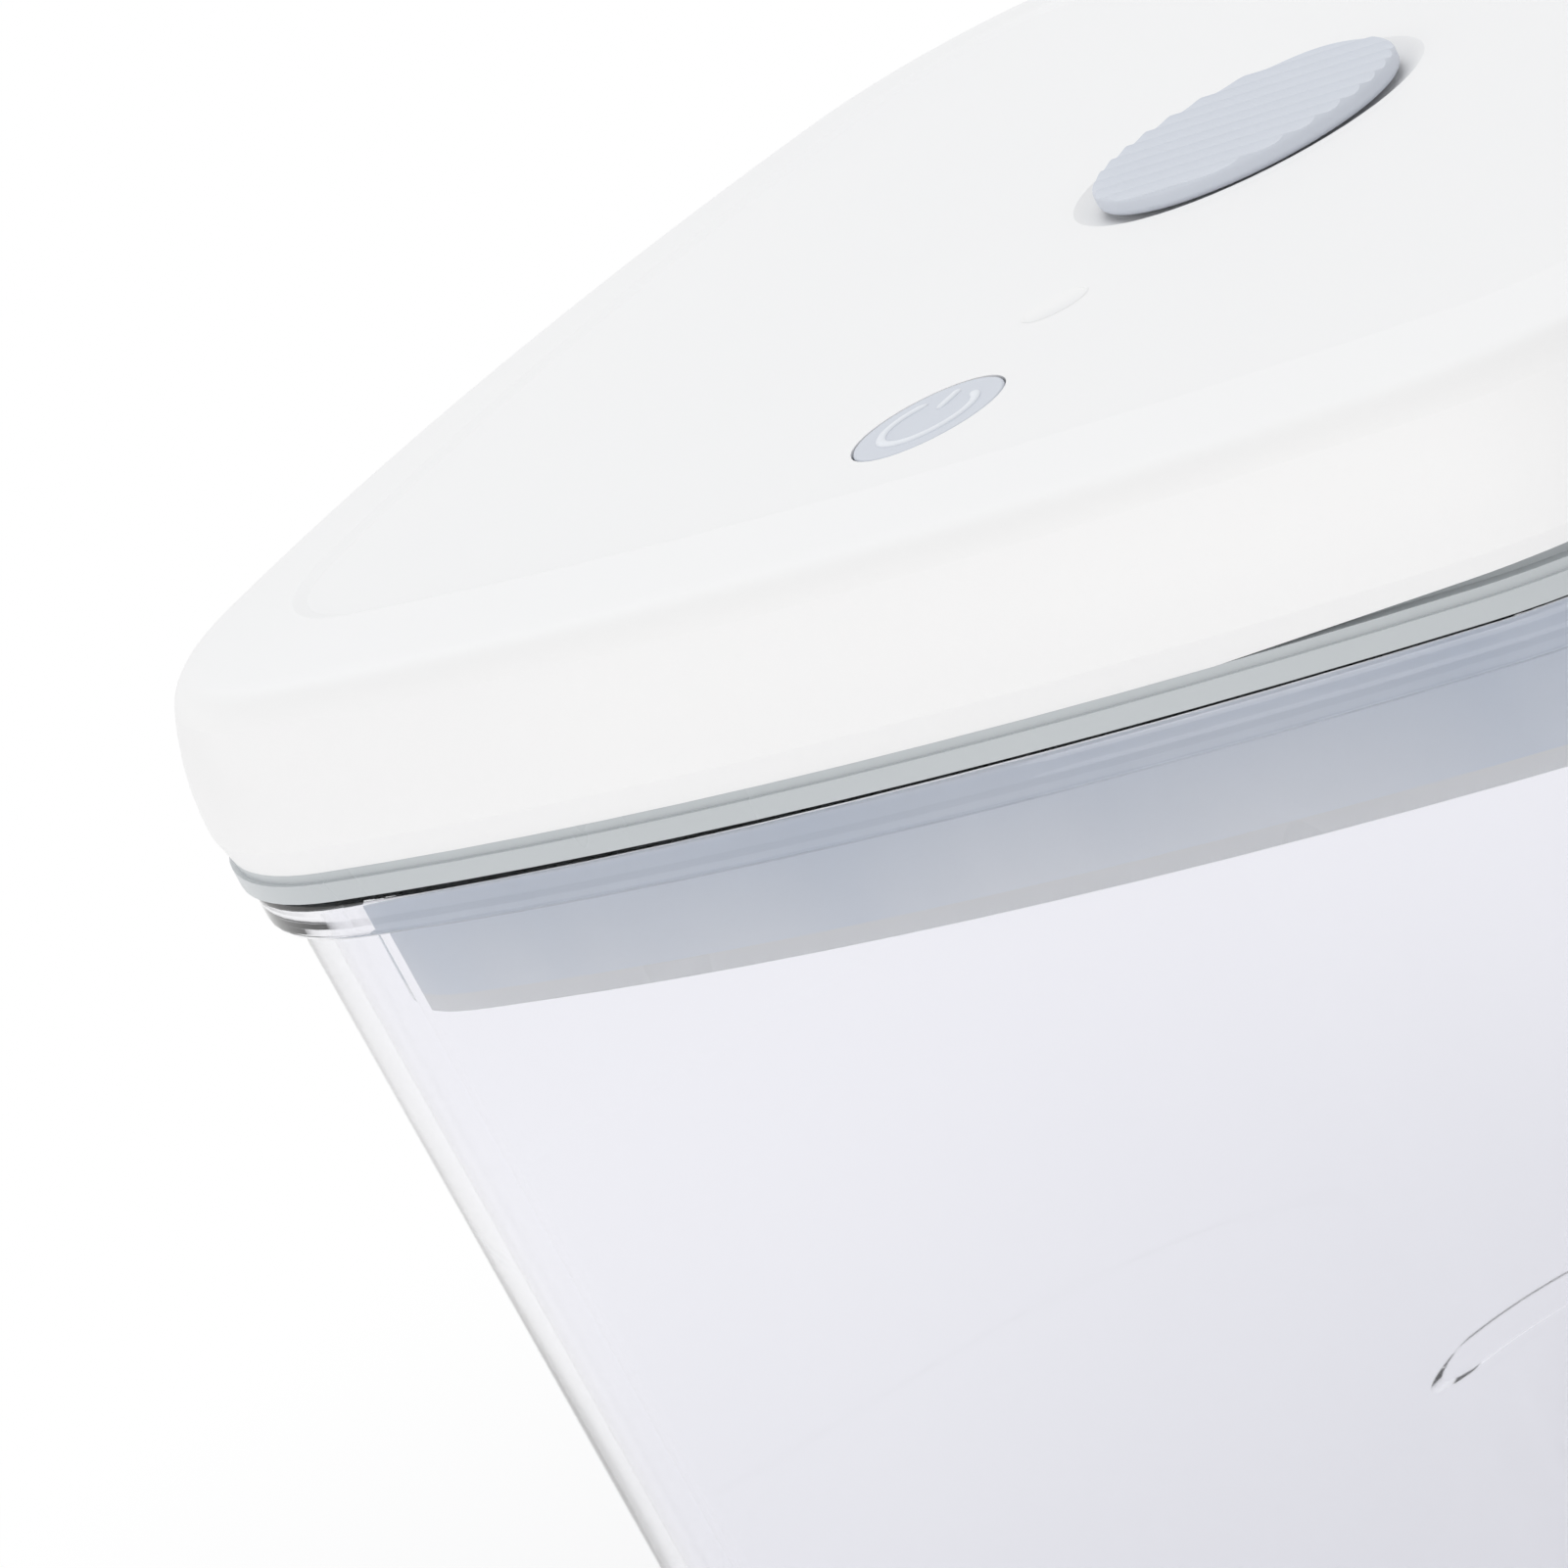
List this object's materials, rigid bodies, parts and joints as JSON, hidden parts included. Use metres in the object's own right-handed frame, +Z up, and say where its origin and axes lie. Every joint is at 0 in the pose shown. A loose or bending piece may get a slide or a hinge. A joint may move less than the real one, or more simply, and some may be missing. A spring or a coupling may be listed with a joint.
{
  "type": "vacuum food container",
  "caption": "Clear rectangular tub with a battery-pumped vacuum lid, release knob and power button.",
  "frame": {"origin": "middle of the surface that the feet stand on", "axes": "+X to the right along the front, +Y to the back, +Z up"},
  "size_m": [0.25, 0.217, 0.2896],
  "materials": {
    "clear_plastic": "clear glossy plastic",
    "white_plastic": "satin",
    "grey_green_plastic": "satin",
    "blue_grey_plastic": "satin",
    "blue_grey_silicone": "soft",
    "foot_silicone": "soft",
    "tube_silicone": "soft",
    "black_plastic": "moulded",
    "board_green": "solder resist",
    "steel": "plated",
    "filter_foam": "open foam",
    "battery_wrap": "shrink wrap"
  },
  "bodies": {
    "container": {"container_body": "clear_plastic", "base_feet": "foot_silicone"},
    "release": {"release_knob": "blue_grey_plastic", "valve_seal": "foot_silicone"},
    "button": {"power_button": "blue_grey_plastic", "switch_plunger": "black_plastic"},
    "pump_shaft": {"motor_shaft": "steel", "pump_cam": "white_plastic"},
    "lid": {"lid_base": "grey_green_plastic", "gasket": "blue_grey_silicone", "lid_shell": "white_plastic", "stem_guide": "white_plastic", "switch_body": "black_plastic", "circuit_board": "board_green", "control_chips": "black_plastic", "wire_sockets": "white_plastic", "status_light": "clear_plastic", "indicator_lens": "white_plastic", "pump_motor": "steel", "pump_housing": "black_plastic", "pump_diaphragm": "foot_silicone", "pump_valve_head": "black_plastic", "suction_tube": "tube_silicone", "check_valve": "white_plastic", "inlet_filter": "filter_foam", "filter_cap": "grey_green_plastic", "pressure_sensor": "black_plastic", "battery": "battery_wrap", "motor_strap": "grey_green_plastic", "battery_strap": "grey_green_plastic", "charging_board": "board_green", "charging_socket": "steel", "shell_screw_set": "steel", "small_screw_set": "steel"}
  },
  "joints": [
    {"name": "lid_lift", "type": "slide", "parent": "container", "child": "lid", "axis": [0, 0, 1], "range_m": [0, 0.12]},
    {"name": "knob_pull", "type": "slide", "parent": "lid", "child": "release", "axis": [0, 0, 1], "range_m": [0, 0.004]},
    {"name": "button_press", "type": "slide", "parent": "lid", "child": "button", "axis": [0, 0, -1], "range_m": [0, 0.0004], "stiffness_N_per_m": 400, "springref_m": -0.001},
    {"name": "pump_turn", "type": "hinge", "parent": "lid", "child": "pump_shaft", "pos_m": [-0.062, 0.03, 0.2605], "axis": [1, 0, 0], "continuous": true}
  ]
}
